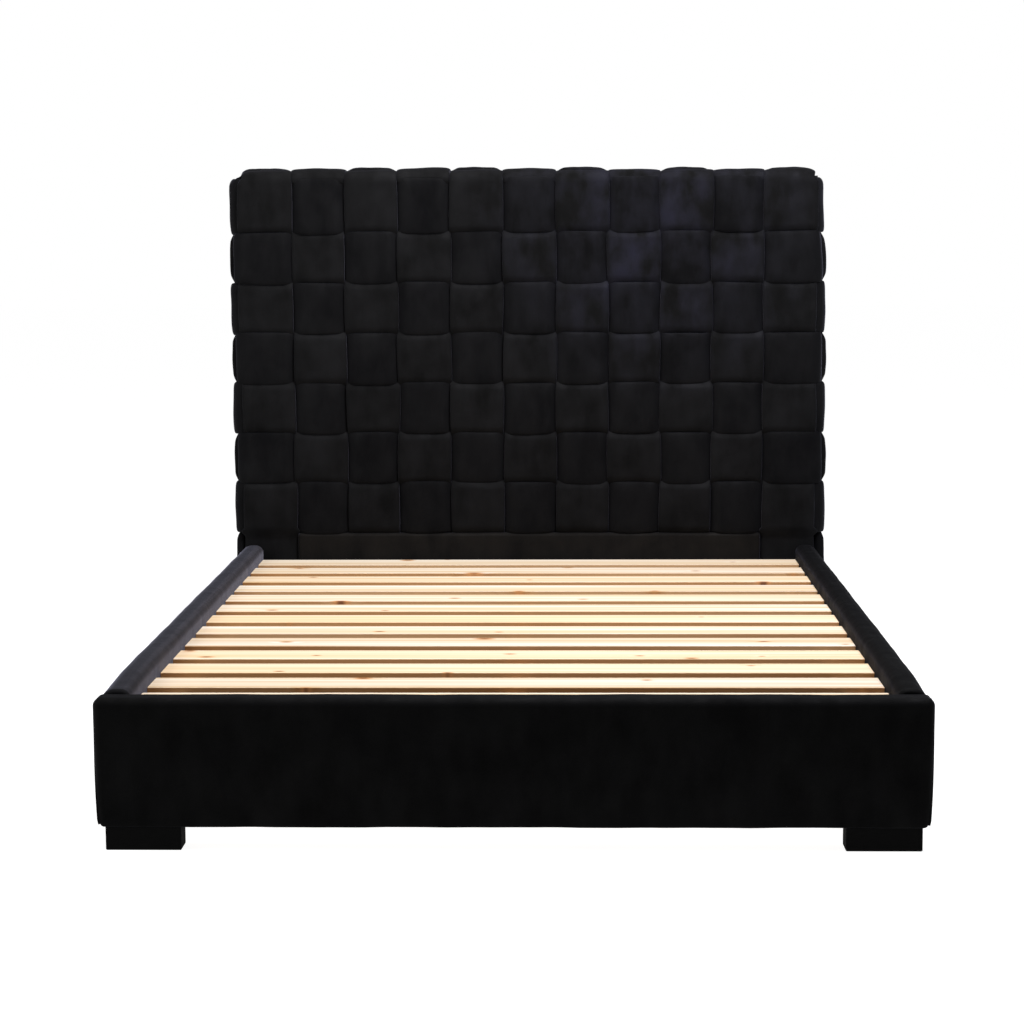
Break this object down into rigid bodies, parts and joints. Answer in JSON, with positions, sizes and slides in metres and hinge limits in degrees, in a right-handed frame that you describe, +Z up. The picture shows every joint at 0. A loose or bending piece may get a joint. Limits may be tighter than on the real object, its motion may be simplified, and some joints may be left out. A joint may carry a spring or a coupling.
{
  "type": "upholstered bed",
  "caption": "Upholstered bed frame with a tall basket-weave padded headboard, low padded side and foot rails, block feet and a slatted base.",
  "frame": {"origin": "on the floor, under the middle of the bed's overall box", "axes": "+Z up, +Y from the foot end to the headboard, X across the bed, so the foot rail faces -Y"},
  "size_m": [1.684, 2.184, 1.387],
  "materials": {
    "velvet": "short-pile black velvet",
    "backing_foam": "open-cell upholstery foam",
    "lining_cloth": "non-woven dust cloth",
    "tape_webbing": "woven polyester tape",
    "slat_pine": "planed untreated pine",
    "frame_pine": "sawn untreated pine",
    "plywood": "bare plywood",
    "rail_board": "bare engineered board",
    "black_block": "satin black stain",
    "black_steel": "satin black powder coat",
    "zinc_steel": "zinc plated",
    "glide_plastic": "black moulded nylon"
  },
  "bodies": {
    "bed_frame": {"back_lining": "lining_cloth", "beam_hangers": "black_steel", "bed_bolts": "zinc_steel", "block_feet": "black_block", "centre_beam": "frame_pine", "centre_leg_front": "frame_pine", "centre_leg_rear": "frame_pine", "corner_brackets": "black_steel", "foot_rail_core": "rail_board", "foot_rail_cover": "velvet", "headboard_cross_rails": "frame_pine", "headboard_face_board": "plywood", "headboard_foam": "backing_foam", "headboard_post_left": "frame_pine", "headboard_post_right": "frame_pine", "lower_panel": "velvet", "rail_foam": "backing_foam", "side_band_left": "velvet", "side_band_right": "velvet", "side_rail_left_core": "rail_board", "side_rail_left_cover": "velvet", "side_rail_right_core": "rail_board", "side_rail_right_cover": "velvet", "slat_01": "slat_pine", "slat_02": "slat_pine", "slat_03": "slat_pine", "slat_04": "slat_pine", "slat_05": "slat_pine", "slat_06": "slat_pine", "slat_07": "slat_pine", "slat_08": "slat_pine", "slat_09": "slat_pine", "slat_10": "slat_pine", "slat_11": "slat_pine", "slat_12": "slat_pine", "slat_13": "slat_pine", "slat_ledger_left": "frame_pine", "slat_ledger_right": "frame_pine", "slat_tapes": "tape_webbing", "top_band": "velvet", "weave_column_01": "velvet", "weave_column_02": "velvet", "weave_column_03": "velvet", "weave_column_04": "velvet", "weave_column_05": "velvet", "weave_column_06": "velvet", "weave_column_07": "velvet", "weave_column_08": "velvet", "weave_column_09": "velvet", "weave_column_10": "velvet", "weave_column_11": "velvet", "weave_row_1": "velvet", "weave_row_2": "velvet", "weave_row_3": "velvet", "weave_row_4": "velvet", "weave_row_5": "velvet", "weave_row_6": "velvet", "weave_row_7": "velvet"},
    "front_glide": {"glide_front": "glide_plastic"},
    "rear_glide": {"glide_rear": "glide_plastic"}
  },
  "joints": [
    {"name": "front_glide_slide", "type": "slide", "parent": "bed_frame", "child": "front_glide", "axis": [0, 0, -1], "range_m": [0, 0.012]},
    {"name": "rear_glide_slide", "type": "slide", "parent": "bed_frame", "child": "rear_glide", "axis": [0, 0, -1], "range_m": [0, 0.012]}
  ]
}
